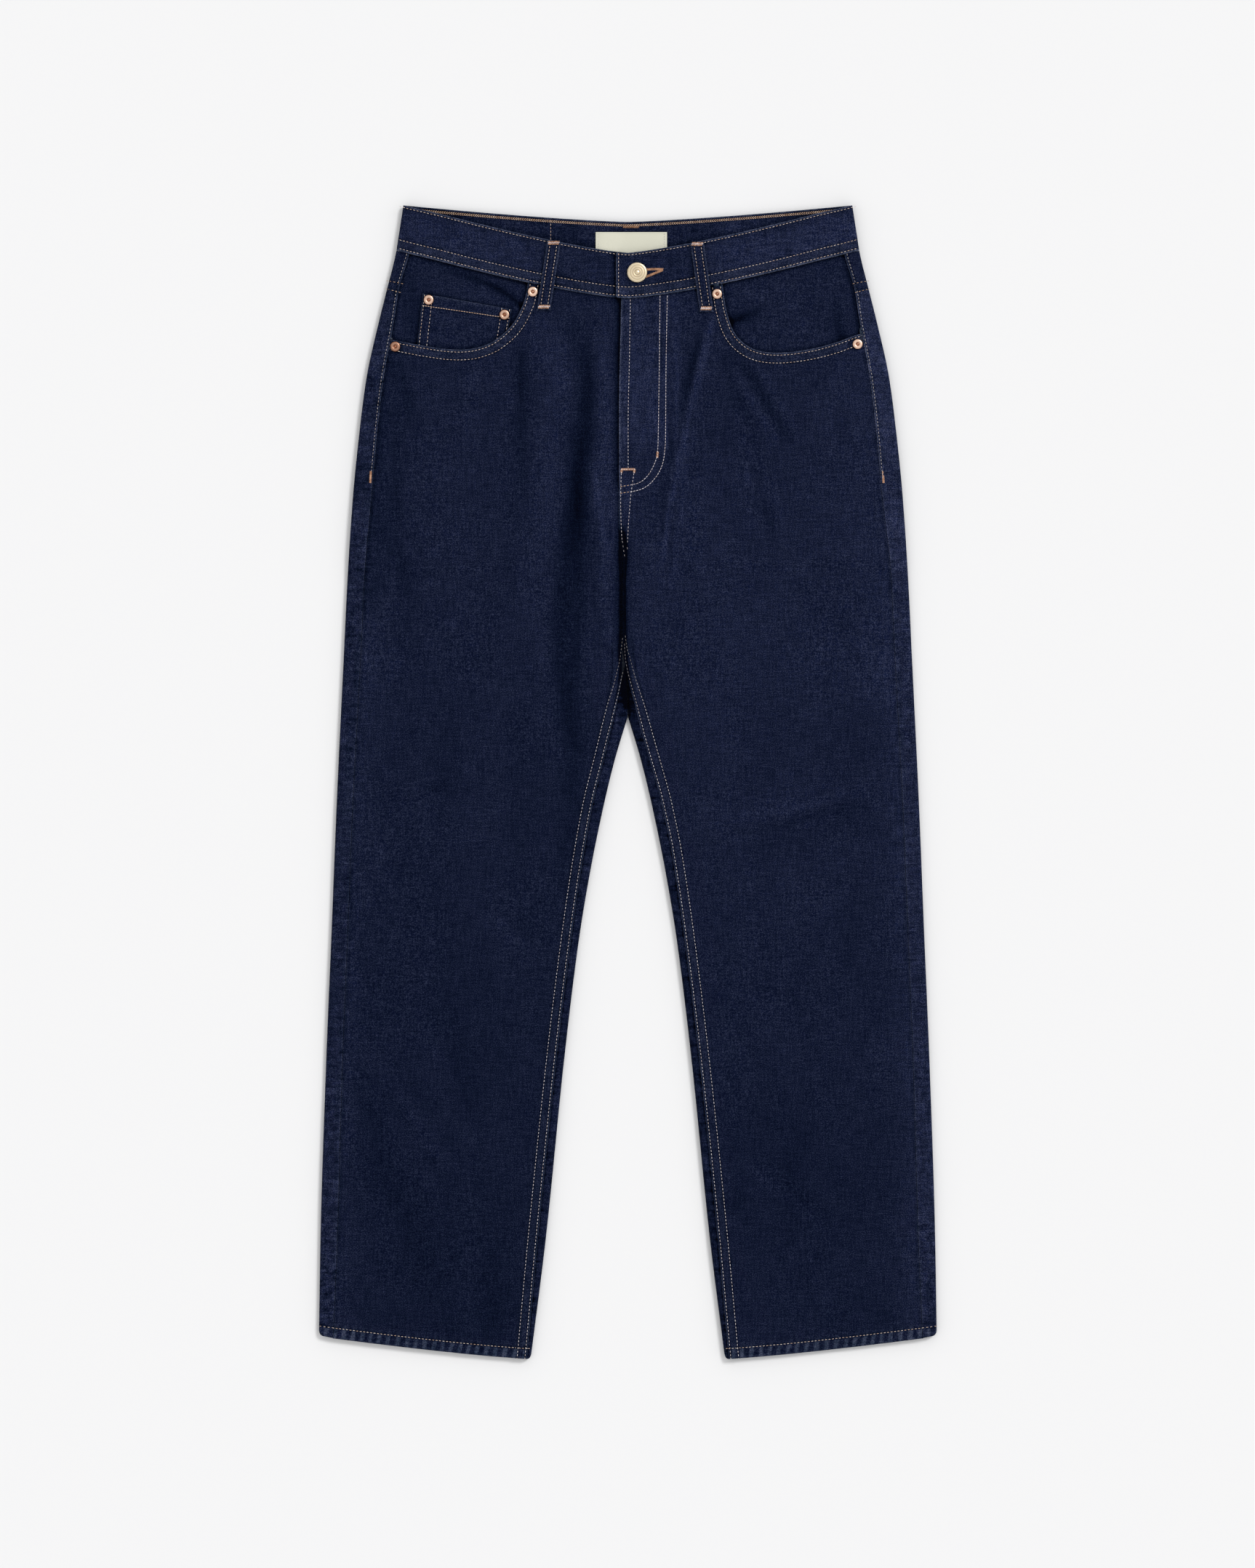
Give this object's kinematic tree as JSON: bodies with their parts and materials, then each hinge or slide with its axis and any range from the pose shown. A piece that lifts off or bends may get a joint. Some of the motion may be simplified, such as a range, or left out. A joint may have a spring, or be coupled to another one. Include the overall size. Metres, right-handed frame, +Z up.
{
  "type": "relaxed fit jeans",
  "caption": "Straight-legged denim jeans in a relaxed cut, buttoned and laid flat on their back, with scooped front pockets, a coin pocket, a fly and belt loops.",
  "frame": {"origin": "on the surface that the jeans lie on, below the middle of their length and width", "axes": "+Y from the hems towards the waist, +Z up from the surface through the back and then the front, +X towards the wearer's left side"},
  "size_m": [0.552, 1.0303, 0.0135],
  "materials": {
    "denim": "dark indigo cotton twill, matt",
    "button metal": "pale antique brass",
    "rivet metal": "copper plated",
    "label cloth": "cream woven tape, matt"
  },
  "bodies": {
    "root": {"front_right": "denim", "front_left": "denim", "back_right": "denim", "back_left": "denim", "yoke_right": "denim", "yoke_left": "denim", "waistband": "denim", "pocket_facing_right": "denim", "pocket_facing_left": "denim", "coin_pocket": "denim", "back_pocket_right": "denim", "back_pocket_left": "denim", "belt_loop_front_right": "denim", "belt_loop_front_left": "denim", "belt_loop_back_right": "denim", "belt_loop_back_left": "denim", "belt_loop_back_centre": "denim", "button": "button metal", "rivet_right_mouth_top": "rivet metal", "rivet_right_mouth_side": "rivet metal", "rivet_coin_outer": "rivet metal", "rivet_coin_inner": "rivet metal", "rivet_left_mouth_top": "rivet metal", "rivet_left_mouth_side": "rivet metal", "label": "label cloth"}
  },
  "joints": []
}
